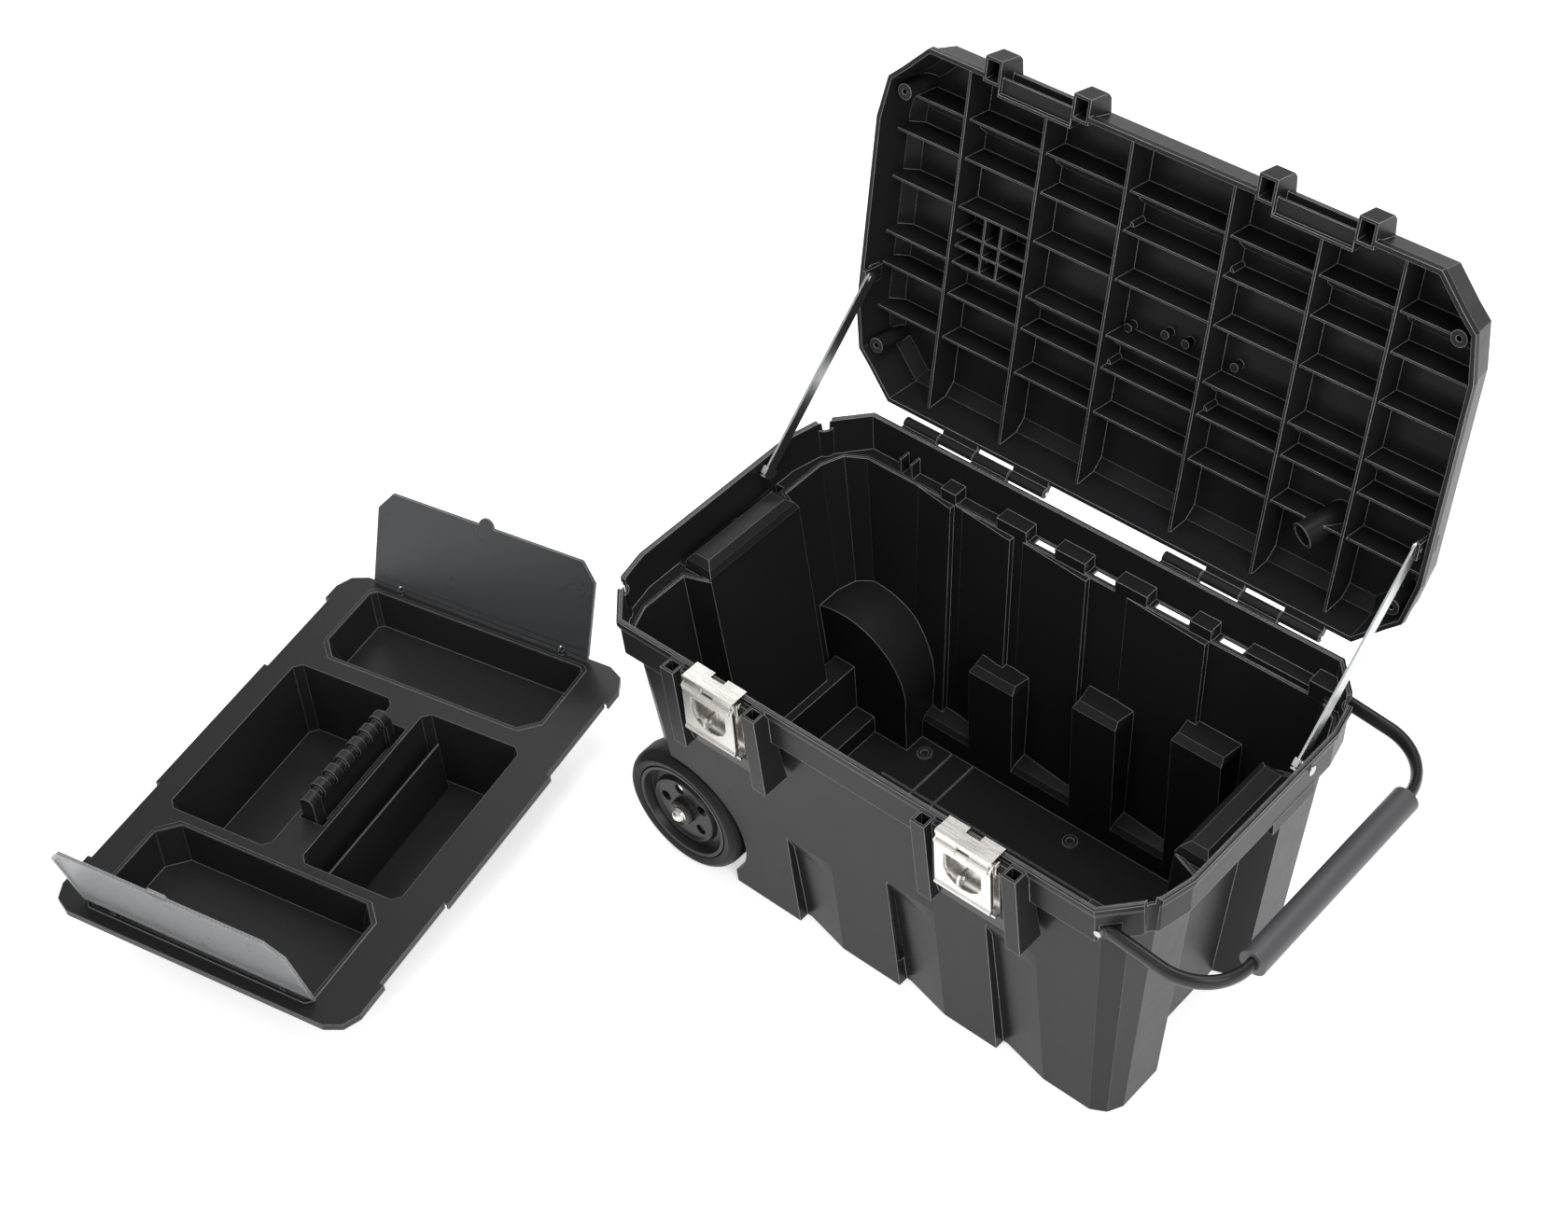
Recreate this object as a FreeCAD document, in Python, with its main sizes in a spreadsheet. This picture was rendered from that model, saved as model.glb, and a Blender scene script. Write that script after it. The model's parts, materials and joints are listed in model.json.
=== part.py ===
import FreeCAD, Part
import os, re, math
from FreeCAD import Vector

# Rolling tool box: moulded tub with two wheels, a ribbed hinged lid held by two
# strap stays, a pull handle, two draw latches and a lift-out tray with two lids.
# Frame: origin at the centre of the tub's footprint on the floor, +Z up,
# +X along the length towards the handle, -Y towards the latches.

doc = FreeCAD.newDocument("tool_box")
sheet = doc.addObject("Spreadsheet::Sheet", "Dims")
DIMS = [
    ("rim_len", 740), ("rim_wid", 428), ("tub_height", 405), ("band", 48), ("wall", 3),
    ("lip", 3), ("lip_high", 7), ("top_len", 692), ("top_wid", 382), ("base_len", 621), ("base_wid", 332),
    ("floor_thk", 4), ("chan_top", 315), ("chan_base", 278), ("chan_half_top", 71), ("chan_half_base", 68),
    ("block_rise", 18), ("slot_in", 351), ("slot_out", 363.8),
    ("hinge_y", 226.2), ("hinge_drop", 2.1), ("pin_rad", 2.5), ("knuckle_rad", 6.2), ("knuckle_len", 50),
    ("lid_open", 101.7), ("lid_deep", 60), ("lid_skin", 3), ("lid_gap", 1.2),
    ("wheel_rad", 83), ("wheel_x", 290), ("wheel_out", 182), ("tyre_wid", 46), ("well_rad", 92), ("well_in", 112),
    ("axle_rad", 6), ("bore_gap", 0.05), ("latch_x", 170), ("latch_wid", 72), ("guard_off", 57), ("guard_wid", 18),
    ("stay_rad", 152), ("stay_x", 356), ("stay_thk", 2.5), ("stay_wid", 16),
    ("arm_y", 198), ("arm_x", 318), ("arm_drop", 38), ("bail_len", 130), ("bail_tilt", 7.5), ("bail_rad", 62), ("grip_rad", 15.2), ("grip_len", 268),
    ("tray_len", 594), ("tray_wid", 411), ("tray_high", 100), ("tray_x", 613.8), ("tray_y", 401.3), ("tray_turn", 102.32),
    ("stud_rad", 2.5), ("eye_rad", 1.6), ("trail_rad", 4), ("fold_rad", 2), ("tray_lid_open", 110.5), ("tray_lid_lean", 103.4), ("tray_lid_thk", 2.4),
]
for i, (name, value) in enumerate(DIMS, 1):
    sheet.set("A%d" % i, name)
    sheet.set("B%d" % i, str(value))
    sheet.setAlias("B%d" % i, name)
doc.recompute()
D = dict(DIMS)
NAMES = re.compile(r"\b(%s)\b" % "|".join(sorted(D, key=len, reverse=True)))


def E(expr):
    return NAMES.sub(lambda m: "Dims." + m.group(1), str(expr))


def val(expr):
    return float(eval_expr(str(expr)))


def eval_expr(expr):
    # plain arithmetic of the sheet's values, for shapes that are placed in code
    total = NAMES.sub(lambda m: repr(float(D[m.group(1)])), expr)
    cell = "D1"
    sheet.set(cell, "=" + total)
    sheet.recompute()
    out = sheet.get(cell)
    return getattr(out, "Value", out)


count = [0]


def uid(prefix):
    count[0] += 1
    return "%s_%d" % (prefix, count[0])


def bind(obj, prop, expr):
    if isinstance(expr, (int, float)):
        parts = prop.split(".")
        if len(parts) == 1:
            setattr(obj, prop, expr)
        else:
            obj.setExpression(prop, str(expr))
    else:
        obj.setExpression(prop, E(expr))


def place(obj, x=0, y=0, z=0):
    for axis, expr in (("x", x), ("y", y), ("z", z)):
        if expr != 0:
            obj.setExpression("Placement.Base." + axis, E(expr))


def box(x0, x1, y0, y1, z0, z1):
    # a block between two corners, each coordinate a number or an expression
    b = doc.addObject("Part::Box", uid("block"))
    for prop, lo, hi in (("Length", x0, x1), ("Width", y0, y1), ("Height", z0, z1)):
        b.setExpression(prop, "(%s) - (%s)" % (E(hi), E(lo)))
    place(b, x0, y0, z0)
    return b


def rot(axis, angle):
    return FreeCAD.Rotation(Vector(*axis), angle)


def cyl(r, length, x, y, z, axis="z"):
    c = doc.addObject("Part::Cylinder", uid("round"))
    c.setExpression("Radius", E(r))
    c.setExpression("Height", E(length))
    if axis == "x":
        c.Placement = FreeCAD.Placement(Vector(), rot((0, 1, 0), 90))
    elif axis == "y":
        c.Placement = FreeCAD.Placement(Vector(), rot((1, 0, 0), -90))
    place(c, x, y, z)
    return c


def poly(pts, z=0, plane="xy"):
    # a closed polygon sketch whose corners are bound to expressions
    s = doc.addObject("Sketcher::SketchObject", uid("outline"))
    n = len(pts)
    num = [(val(a), val(b)) for a, b in pts]
    for i in range(n):
        a, b = num[i], num[(i + 1) % n]
        s.addGeometry(Part.LineSegment(Vector(a[0], a[1], 0), Vector(b[0], b[1], 0)), False)
    import Sketcher
    for i in range(n):
        s.addConstraint(Sketcher.Constraint("Coincident", i, 2, (i + 1) % n, 1))
    for i, (a, b) in enumerate(pts):
        for kind, expr, value in (("DistanceX", a, num[i][0]), ("DistanceY", b, num[i][1])):
            k = s.addConstraint(Sketcher.Constraint(kind, -1, 1, i, 1, value))
            if isinstance(expr, str):
                s.setExpression("Constraints[%d]" % k, E(expr))
    if plane == "xz":      # sketch x -> X, sketch y -> Z, normal -Y
        s.Placement = FreeCAD.Placement(Vector(), rot((1, 0, 0), 90))
        place(s, 0, z, 0)
    elif plane == "yz":    # sketch x -> Y, sketch y -> Z, normal +X
        s.Placement = FreeCAD.Placement(Vector(), FreeCAD.Rotation(Vector(1, 1, 1), 120))
        place(s, z, 0, 0)
    else:
        place(s, 0, 0, z)
    return s


def prism(pts, z0, length, plane="xy"):
    # a polygon pushed along its plane's positive world axis
    s = poly(pts, z0, plane)
    e = doc.addObject("Part::Extrusion", uid("prism"))
    e.Base = s
    e.DirMode = "Custom"
    e.Dir = {"xy": Vector(0, 0, 1), "xz": Vector(0, 1, 0), "yz": Vector(1, 0, 0)}[plane]
    e.Solid = True
    e.setExpression("LengthFwd", E(length))
    return e


def loft(sections):
    f = doc.addObject("Part::Loft", uid("draft"))
    f.Sections = sections
    f.Solid = True
    f.Ruled = True
    return f


def fuse(parts, refine=True):
    f = doc.addObject("Part::MultiFuse", uid("join"))
    f.Shapes = parts
    f.Refine = refine
    return f


def cut(base, tools):
    tool = tools[0] if len(tools) == 1 else fuse(tools, False)
    c = doc.addObject("Part::Cut", uid("cut"))
    c.Base = base
    c.Tool = tool
    return c


def moved(obj, placement_exprs=None, angle=None, axis=(1, 0, 0), centre=(0, 0, 0)):
    # the same shape turned about an axis: a one-member group carries the turn
    m = doc.addObject("Part::Compound", uid("set"))
    m.Links = [obj]
    m.Placement = FreeCAD.Placement(Vector(), rot(axis, angle), Vector(*centre))
    return m


def sym(half):
    # outline of the right half, top to bottom in +X, mirrored about X = 0 and Y = 0
    q = half
    n = lambda e: "-(%s)" % e
    right_back = [(a, b) for a, b in q]
    out = [(a, n(b)) for a, b in q]                      # front right, from the front edge outward
    out += [(a, b) for a, b in reversed(q)]              # back right
    out += [(n(a), b) for a, b in q]                     # back left
    out += [(n(a), n(b)) for a, b in reversed(q)]        # front left
    return out


NODES = {}


def node(obj, label):
    obj.Label = label
    NODES[label] = obj
    return obj


H = "tub_height"
LEDGE = "(tub_height - band)"

# ------------------------------------------------------------------ tub
# corner of the rim: chamfer with a second, flatter chamfer towards the end
def rim(inset):
    return sym([("rim_len/2 - 53 - 0.4*(%s)" % inset, "rim_wid/2 - (%s)" % inset),
                ("rim_len/2 - 20 - 0.8*(%s)" % inset, "rim_wid/2 - 36 - 0.7*(%s)" % inset),
                ("rim_len/2 - 9 - 0.9*(%s)" % inset, "rim_wid/2 - 53 - 0.5*(%s)" % inset),
                ("rim_len/2 - (%s)" % inset, "rim_wid/2 - 92 - 0.2*(%s)" % inset)])


def wall_top(inset):
    return [("top_len/2 - 36 - 0.4*(%s)" % inset, "top_wid/2 - (%s)" % inset),
            ("top_len/2 - 12 - 0.7*(%s)" % inset, "top_wid/2 - 14 - 0.7*(%s)" % inset),
            ("top_len/2 - (%s)" % inset, "top_wid/2 - 42 - 0.4*(%s)" % inset),
            ("top_len/2 - (%s)" % inset, "chan_half_top + 12 + 0.8*(%s)" % inset),
            ("chan_top - (%s)" % inset, "chan_half_top + (%s)" % inset)]


def wall_base(inset):
    return [("base_len/2 - 26 - 0.4*(%s)" % inset, "base_wid/2 - (%s)" % inset),
            ("base_len/2 - 9 - 0.7*(%s)" % inset, "base_wid/2 - 9 - 0.7*(%s)" % inset),
            ("base_len/2 - (%s)" % inset, "base_wid/2 - 26 - 0.4*(%s)" % inset),
            ("base_len/2 - (%s)" % inset, "chan_half_base + 12 + 0.8*(%s)" % inset),
            ("chan_base - (%s)" % inset, "chan_half_base + (%s)" % inset)]


outer = loft([poly(sym(wall_base("0")), 0), poly(sym(wall_top("0")), LEDGE)])
inner = loft([poly(sym(wall_base("wall")), "floor_thk"), poly(sym(wall_top("wall")), LEDGE)])

band_out = loft([poly(rim("lip + 2"), LEDGE + " - 3"), poly(rim("lip"), H)])
lip_out = prism(rim("0"), H + " - lip_high", "lip_high")
lip_low = prism(rim("lip/2"), H + " - lip_high - 4", "4.5")
band_in = loft([poly(rim("lip + 2 + wall"), LEDGE), poly(rim("lip + wall"), H + " + 1")])

# obstacles that stand inside the tub: wheel arches, axle tunnel, pillars
arch, well = [], []
for sy in (-1, 1):
    y0, y1 = ("-rim_wid/2 - 20", "-well_in") if sy < 0 else ("well_in", "rim_wid/2 + 20")
    well.append(cyl("well_rad", "rim_wid/2 + 20 - well_in", "-wheel_x", y0, "wheel_rad", "y"))
    well.append(box("-wheel_x - 140", "-wheel_x + 68", y0, y1, -1, 22))
    well.append(box("-wheel_x - 140", "-wheel_x", y0, y1, -1, "wheel_rad + 20"))
    a0, a1 = ("-rim_wid/2", "-well_in + wall") if sy < 0 else ("well_in - wall", "rim_wid/2")
    arch.append(cyl("well_rad + wall", "rim_wid/2 - well_in + wall", "-wheel_x", a0, "wheel_rad", "y"))
    arch.append(box("-wheel_x - 140", "-wheel_x + 71", a0, a1, 0, 25))
    arch.append(box("-wheel_x - 140", "-wheel_x + well_rad*0.985 + wall", a0, a1, 0, "wheel_rad - 10"))
tunnel = [box("-wheel_x - 14", "-wheel_x + 16", "-rim_wid/2 + 60", "rim_wid/2 - 60", 0, "wheel_rad + 16"),
          box("-wheel_x - 60", "-wheel_x + 44", "-rim_wid/2 + 60", "rim_wid/2 - 60", 0, "30")]

# recesses of the long walls: 72 wide, of rising height, deep on the left and
# running out on the right outside; square pillars with a sloping top inside
pillars, pockets = [], []
for cx, hw, top in ((-94, 34, 165), (53, 32, 203), (190, 35, 240)):
    for sy in (-1, 1):
        yb = "%d*(base_wid/2)" % sy
        yt = "%d*(base_wid/2 + (top_wid - base_wid)/2*%d/357)" % (sy, top)
        face = "%d*(base_wid/2 - 27)" % sy
        face_top = "%d*(base_wid/2 - 23)" % sy
        s0 = [(cx - hw, yb), (cx + hw, yb), (cx + hw - 2, face), (cx - hw + 2, face)]
        s1 = [(cx - hw, yt), (cx + hw, yt), (cx + hw - 2, face_top), (cx - hw + 2, face_top)]
        s2 = [(cx - hw, yt + " + %d*2" % sy), (cx + hw, yt + " + %d*2" % sy), (cx + hw - 5, face_top + " + %d*9" % sy), (cx - hw + 5, face_top + " + %d*9" % sy)]
        pillars.append(loft([poly(s0, 0), poly(s1, "%d - 7" % top)]))
        pillars.append(loft([poly(s1, "%d - 7" % top), poly(s2, top)]))
        t0 = [(cx - 32, yb + " + %d*9" % sy), (cx + 33, yb + " + %d*9" % sy), (cx + 33, yb), (cx - 26, yb + " - %d*13" % sy), (cx - 32, yb + " - %d*13" % sy)]
        yq = "%d*(base_wid/2 + (top_wid - base_wid)/2*%d/357)" % (sy, top - 34)
        t1 = [(cx - 32, yq + " + %d*9" % sy), (cx + 33, yq + " + %d*9" % sy), (cx + 33, yq), (cx - 26, yq + " - %d*9" % sy), (cx - 32, yq + " - %d*9" % sy)]
        yr = "%d*(base_wid/2 + (top_wid - base_wid)/2*%d/357)" % (sy, top - 8)
        t2 = [(cx - 32, yr + " + %d*9" % sy), (cx + 33, yr + " + %d*9" % sy), (cx + 33, yr), (cx - 26, yr + " + %d*0.5" % sy), (cx - 32, yr + " + %d*0.5" % sy)]
        pockets.append(loft([poly(t0, -1), poly(t1, "%d - 34" % top)]))
        pockets.append(loft([poly(t1, "%d - 34" % top), poly(t2, "%d - 8" % top)]))
# wedge shaped panels of the long walls, each proud at its right edge
for x1, x0 in ((-180, -232), (-95, -168), (10, -82), (168, 60)):
    for sy in (-1, 1):
        lo_, hi_ = "%d*(base_wid/2 - wall + 3)" % sy, "%d*(top_wid/2 - wall)" % sy
        w0 = [(x0, lo_ + " + %d*2" % sy), (x1, lo_ + " + %d*2" % sy), (x1, lo_ + " - %d*8" % sy), (x1 - 6, lo_ + " - %d*8" % sy), (x0, lo_ + " - %d*0.4" % sy)]
        w1 = [(x0, hi_ + " + %d*2" % sy), (x1, hi_ + " + %d*2" % sy), (x1, hi_ + " - %d*7" % sy), (x1 - 6, hi_ + " - %d*7" % sy), (x0, hi_ + " - %d*0.4" % sy)]
        pillars.append(loft([poly(w0, 40), poly(w1, LEDGE)]))
# the foot of the long walls stands in between the pillars
foot = []
for sy in (-1, 1):
    yb = "%d*(base_wid/2)" % sy
    foot.append(prism([(yb, 0), (yb + " - %d*28" % sy, 0), (yb + " - %d*26" % sy, 32), (yb + " - %d*20" % sy, 38), (yb + " - %d*1" % sy, 43), (yb + " + %d*3" % sy, 43)], -196, 452, "yz"))

# end blocks: the inward side of the end channels, with a roof above the ledge
block_in, block_cut, slots, sleeves = [], [], [], []
for sx in (-1, 1):
    lo, hi = ("chan_top - wall", "slot_in") if sx > 0 else ("-slot_in", "-chan_top + wall")
    b0 = [(sx * 1, 0)]
    bx = lambda e: "%d*(%s)" % (sx, e)
    low = [(bx("chan_top - wall"), "-chan_half_top - wall"), (bx("slot_in"), "-chan_half_top - wall"), (bx("slot_in"), "chan_half_top + wall"), (bx("chan_top - wall"), "chan_half_top + wall")]
    mid = [(bx("chan_top + 1"), "-chan_half_top + 0"), (bx("slot_in - 1"), "-chan_half_top + 0"), (bx("slot_in - 1"), "chan_half_top - 0"), (bx("chan_top + 1"), "chan_half_top - 0")]
    top_ = [(bx("chan_top + 9"), "-chan_half_top + 8"), (bx("slot_in - 7"), "-chan_half_top + 8"), (bx("slot_in - 7"), "chan_half_top - 8"), (bx("chan_top + 9"), "chan_half_top - 8")]
    block_in.append(loft([poly(low, LEDGE + " - 6"), poly(low, LEDGE + " + block_rise*0.3"), poly(mid, LEDGE + " + block_rise*0.7"), poly(top_, LEDGE + " + block_rise + 1")]))
    lo2 = [(bx("chan_top"), "-chan_half_top"), (bx("slot_in - wall"), "-chan_half_top"), (bx("slot_in - wall"), "chan_half_top"), (bx("chan_top"), "chan_half_top")]
    block_cut.append(prism(lo2, LEDGE + " - 8", "8 + block_rise*0.4"))
    s0, s1 = ("slot_in", "slot_out") if sx > 0 else ("-slot_out", "-slot_in")
    slots.append(box(s0, s1, 22, 92, LEDGE + " - 10", LEDGE + " + 1"))
    slots.append(box(s0, s1, -72, 23, LEDGE + " - 1.4", LEDGE + " + 1"))
    sleeves.append(cut(box(s0 + " - 2", s1 + " + 2", 20, 94, LEDGE + " - 18", LEDGE + " - 1"), [box(s0, s1, 22, 92, LEDGE + " - 20", LEDGE + " + 1")]))

rim_groove = cut(prism(rim("2.8"), H + " - 1.4", 3), [prism(rim("4.6"), H + " - 2", 4)])
bead = cut(loft([poly(sym(wall_top("-1")), LEDGE + " - 1"), poly(sym(wall_top("-0.5")), LEDGE + " + 2.2")]), [prism(sym(wall_top("wall - 0.4")), LEDGE + " - 3", 8)])
# ledge ring under the band, closed down onto the wall
ledge_ring = prism(rim("lip + 2"), LEDGE + " - 3", "3")

# half-round corner grooves in the rim
groove_add, groove_cut = [], []
for sx in (-1, 1):
    for sy in (-1, 1):
        gx, gy = "%d*(rim_len/2 - 13)" % sx, "%d*(rim_wid/2 - 43)" % sy
        groove_add.append(cyl(12.5, "band - 8", gx, gy, LEDGE + " - 2"))
        groove_cut.append(cyl(9.5, "band + 20", gx, gy, LEDGE + " - 14"))

# latch guards: square tubes, open on top
guards, guard_cut = [], []
for sx in (-1, 1):
    for so in (-1, 1):
        gc = "%d*latch_x + %d*guard_off" % (sx, so)
        gx0, gx1 = gc + " - guard_wid/2", gc + " + guard_wid/2"
        side = [("-rim_wid/2 + 24", "tub_height - 122"), ("-rim_wid/2 - 11", "tub_height - 122"), ("-rim_wid/2 - 18.5", "tub_height - 2.5"), ("-rim_wid/2 + 4", "tub_height - 2.5")]
        guards.append(prism(side, gx0, "guard_wid", "yz"))
        side_in = [("-rim_wid/2 - 3", "tub_height - 70"), ("-rim_wid/2 - 11", "tub_height - 70"), ("-rim_wid/2 - 15.5", "tub_height"), ("-rim_wid/2 - 3", "tub_height")]
        guard_cut.append(prism(side_in, gx0 + " + 2.5", "guard_wid - 5", "yz"))
    # flat seat behind the latch
    lc = "%d*latch_x" % sx
    seat = [("-rim_wid/2 + 24", "tub_height - 122"), ("-rim_wid/2 + 2", "tub_height - 118"), ("-rim_wid/2 - 6", "tub_height - 88"), ("-rim_wid/2 - 6", "tub_height - 6"), ("-rim_wid/2 + 4", "tub_height - 6")]
    guards.append(prism(seat, lc + " - guard_off", "2*guard_off", "yz"))

# back ledge: bridges, fins and a long block
bridges, bridge_cut = [], []
for x0, x1 in ((-199, -178), (-119, -78), (-38, 3), (44, 86), (142, 170)):
    bridges.append(box(x0, x1, "rim_wid/2 - 26", "rim_wid/2 - 5", LEDGE + " - 24", LEDGE + " + 16"))
    bridge_cut.append(box("%s + 3" % x0, "%s - 3" % x1, "rim_wid/2 - 23", "rim_wid/2 - 8.5", LEDGE + " - 30", LEDGE + " + 13"))
bridges.append(box(212, 316, "rim_wid/2 - 24", "rim_wid/2 - 5", LEDGE + " - 20", LEDGE + " + 11"))
bridge_cut.append(box(215, 313, "rim_wid/2 - 21", "rim_wid/2 - 8.5", LEDGE + " - 24", LEDGE + " + 8"))
gaps = [(-178, -119), (-78, -38), (3, 44), (86, 142), (170, 212)]
windows = [box("%s + 6" % a, "%s - 6" % b, "rim_wid/2 - 19", "rim_wid/2 - 10", LEDGE + " - 12", LEDGE + " + 1") for a, b in gaps[1:]]
fins = [box(x, x + 2.5, "rim_wid/2 - 22", "rim_wid/2 - 5", LEDGE + " - 1", LEDGE + " + 22") for x in (-263, -247)]
front_tabs = [box(x, x + 34, "-rim_wid/2 + 4.5", "-rim_wid/2 + 14", LEDGE + " - 1", LEDGE + " + 26") for x in (-84, -14, 44)]

# hinge knuckles on the back of the rim, two groups, each with two of the tub's
knuckles, knuckle_cut = [], []
for g0 in (-280, 80):
    for k in (0, 2):
        x0 = g0 + 50 * k
        knuckles.append(cyl("knuckle_rad", "knuckle_len - 1", x0 + 0.5, "hinge_y", "tub_height - hinge_drop", "x"))
        arm = [("rim_wid/2 - 4", "tub_height - hinge_drop - knuckle_rad - 8"), ("hinge_y", "tub_height - hinge_drop - knuckle_rad"), ("hinge_y", "tub_height - hinge_drop - 1"), ("rim_wid/2 - 4", "tub_height - hinge_drop - 1")]
        knuckles.append(prism(arm, x0 + 0.5, "knuckle_len - 1", "yz"))
    knuckle_cut.append(cyl("pin_rad + bore_gap", "4*knuckle_len + 20", g0 - 10, "hinge_y", "tub_height - hinge_drop", "x"))

# handle sockets: the arms leave through the chamfered corners under the rim
sock_cut = []
for sy in (-1, 1):
    y0, y1 = ("-arm_y - 8.2", "-arm_y + 8.2") if sy < 0 else ("arm_y - 8.2", "arm_y + 8.2")
    sock_cut.append(box("arm_x - 20", "rim_len/2 + 4", y0, y1, LEDGE + " - 60", "tub_height - arm_drop + 11"))
    sock_cut.append(cyl("trail_rad + bore_gap", 28, "arm_x", "-arm_y - 14" if sy < 0 else "arm_y - 14", "tub_height - arm_drop", "y"))
sock_add = []
for sy in (-1, 1):
    y0, y1 = ("-arm_y - 9", "-arm_y + 12") if sy < 0 else ("arm_y - 12", "arm_y + 9")
    sock_add.append(box("arm_x - 24", "rim_len/2 - 34", y0, y1, LEDGE + " - 3", "tub_height - arm_drop + 14"))

# floor details
bosses = [cyl(9, 3, -176, 118, "floor_thk - 0.5"), cyl(9, 3, 44, 116, "floor_thk - 0.5"), cyl(9, 3, -176, -118, "floor_thk - 0.5"), cyl(9, 3, 44, -116, "floor_thk - 0.5")]
boss_cut = [cyl(5, 4, -176, 118, "floor_thk + 0.6"), cyl(5, 4, 44, 116, "floor_thk + 0.6"), cyl(5, 4, -176, -118, "floor_thk + 0.6"), cyl(5, 4, 44, -116, "floor_thk + 0.6")]
floor_grooves = [box(-196, "base_len/2 - 6", yy, yy + 2, "floor_thk - 1.4", "floor_thk + 0.5") for yy in (-62, 62)]
floor_grooves += [box(xx, xx + 2, "-base_wid/2 + 22", "base_wid/2 - 22", "floor_thk - 1.4", "floor_thk + 0.5") for xx in (-150, -118)]

cavity = cut(inner, arch + tunnel + pillars + foot)
upper = cut(band_in, block_in + bridges + fins + front_tabs + groove_add + sock_add)
body = fuse([outer, band_out, lip_out, lip_low, ledge_ring] + guards + knuckles, False)
body = fuse([body, box("-wheel_x - 14", "-wheel_x + 16", "-well_in - 0.5", "well_in + 0.5", "wheel_rad - 16", "wheel_rad + 13")], False)
GUIDE_Y, GUIDE_Z = "(hinge_y - stay_rad*cos(4.1))", "(tub_height - hinge_drop - stay_rad*sin(4.1))"
rivet_cut = [cyl("stud_rad + bore_gap", 12, "rim_len/2 - 9" if sx > 0 else "-rim_len/2 - 3", GUIDE_Y, GUIDE_Z, "x") for sx in (-1, 1)]
for sx in (-1, 1):
    for dx in (-27, 27):
        for dz in (24, 72):
            rivet_cut.append(cyl(2.6, 16, "%d*latch_x + (%d)" % (sx, dx), "-rim_wid/2 - 9", "tub_height - %d" % dz, "y"))
axle_bore = cyl("axle_rad + bore_gap", "rim_wid", "-wheel_x", "-rim_wid/2", "wheel_rad", "y")
tub = fuse([cut(body, [cavity, upper]), bead], False)
tub = cut(tub, well + pockets + block_cut + slots + groove_cut + guard_cut + knuckle_cut + sock_cut + bridge_cut + windows + floor_grooves + rivet_cut + [axle_bore, rim_groove])
tub = fuse([tub] + bosses + sleeves, True)
tub = cut(tub, boss_cut)
node(tub, "tub")

# ------------------------------------------------------------------ running gear
node(cyl("axle_rad", "2*wheel_out + 6", "-wheel_x", "-wheel_out - 3", "wheel_rad", "y"), "axle")


def revolve_y(profile, y_sign, name):
    # profile points are (radius, distance from the outer face inwards)
    pts = [(r, d) for r, d in profile]
    n = len(pts)
    s = doc.addObject("Sketcher::SketchObject", uid("section"))
    import Sketcher
    num = [(val(a), val(b)) for a, b in pts]
    for i in range(n):
        a, b = num[i], num[(i + 1) % n]
        s.addGeometry(Part.LineSegment(Vector(a[0], a[1], 0), Vector(b[0], b[1], 0)), False)
    for i in range(n):
        s.addConstraint(Sketcher.Constraint("Coincident", i, 2, (i + 1) % n, 1))
    for i, (a, b) in enumerate(pts):
        for kind, expr, value in (("DistanceX", a, num[i][0]), ("DistanceY", b, num[i][1])):
            k = s.addConstraint(Sketcher.Constraint(kind, -1, 1, i, 1, value))
            if isinstance(expr, str):
                s.setExpression("Constraints[%d]" % k, E(expr))
    r = doc.addObject("Part::Revolution", uid("turned"))
    r.Source = s
    r.Axis = Vector(0, 1, 0)
    r.Base = Vector(0, 0, 0)
    r.Angle = 360
    r.Solid = True
    m = doc.addObject("Part::Compound", uid("seat"))
    m.Links = [r]
    if y_sign < 0:
        m.Placement = FreeCAD.Placement(Vector(), FreeCAD.Rotation())
        place(m, "-wheel_x", "-wheel_out", "wheel_rad")
    else:
        m.Placement = FreeCAD.Placement(Vector(), rot((0, 0, 1), 180))
        place(m, "-wheel_x", "wheel_out", "wheel_rad")
    return m


disc = [("axle_rad + bore_gap", -0.6), (14, -0.6), (16, 2), (17, 9), (40, 9), (44, 6), (47, 12), (56, 14), (60, 3), (64, 2.5), (64, 5),
        (66, 8), (66, "tyre_wid - 8"), (64, "tyre_wid - 5"), (60, "tyre_wid - 4"), (58, 20), (46, 18), (44, 14), (20, 14), (17, "tyre_wid - 2"), ("axle_rad + bore_gap", "tyre_wid - 2")]
tyre = [(66, 8), (64.5, 5), (66, 2.6), (70, 1.2), (74, 0.5), (78, 2.5), (81, 6.5), ("wheel_rad - 0.3", 12), ("wheel_rad", 18), ("wheel_rad", "tyre_wid - 14"), (81, "tyre_wid - 6.5"), (77, "tyre_wid - 1.5"), (72, "tyre_wid"), (66, "tyre_wid - 2"), (64.5, "tyre_wid - 5"), (66, "tyre_wid - 8")]
cap = [(0, -9.5), (3.5, -9), (6.5, -7), (8.2, -4.2), (8.6, -2.6), (9.4, -1.2), (9.4, -1.0), ("axle_rad + bore_gap", -1.0), ("axle_rad + bore_gap", -3.2), (0, -3.2)]
for sy, tag in ((-1, "front"), (1, "rear")):
    d = revolve_y(disc, sy, tag)
    holes = []
    for k in range(5):
        a = math.radians(90 + 72 * k + 12)
        holes.append(cyl(7.2, 60, -D["wheel_x"] + 30 * math.cos(a), sy * D["wheel_out"] - 30, D["wheel_rad"] + 30 * math.sin(a), "y"))
    node(cut(d, holes), "wheel_" + tag)
    node(revolve_y(tyre, sy, tag), "tyre_" + tag)
    node(revolve_y(cap, sy, tag), "axle_cap_" + tag)

spacers = []
for y0 in ("-well_in - 25", "well_in + 0.3"):
    spacers.append(cut(cyl(11, 24.7, "-wheel_x", y0, "wheel_rad", "y"), [cyl("axle_rad + bore_gap", 40, "-wheel_x", y0 + " - 5", "wheel_rad", "y")]))
node(fuse(spacers, False), "axle_spacers")

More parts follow.
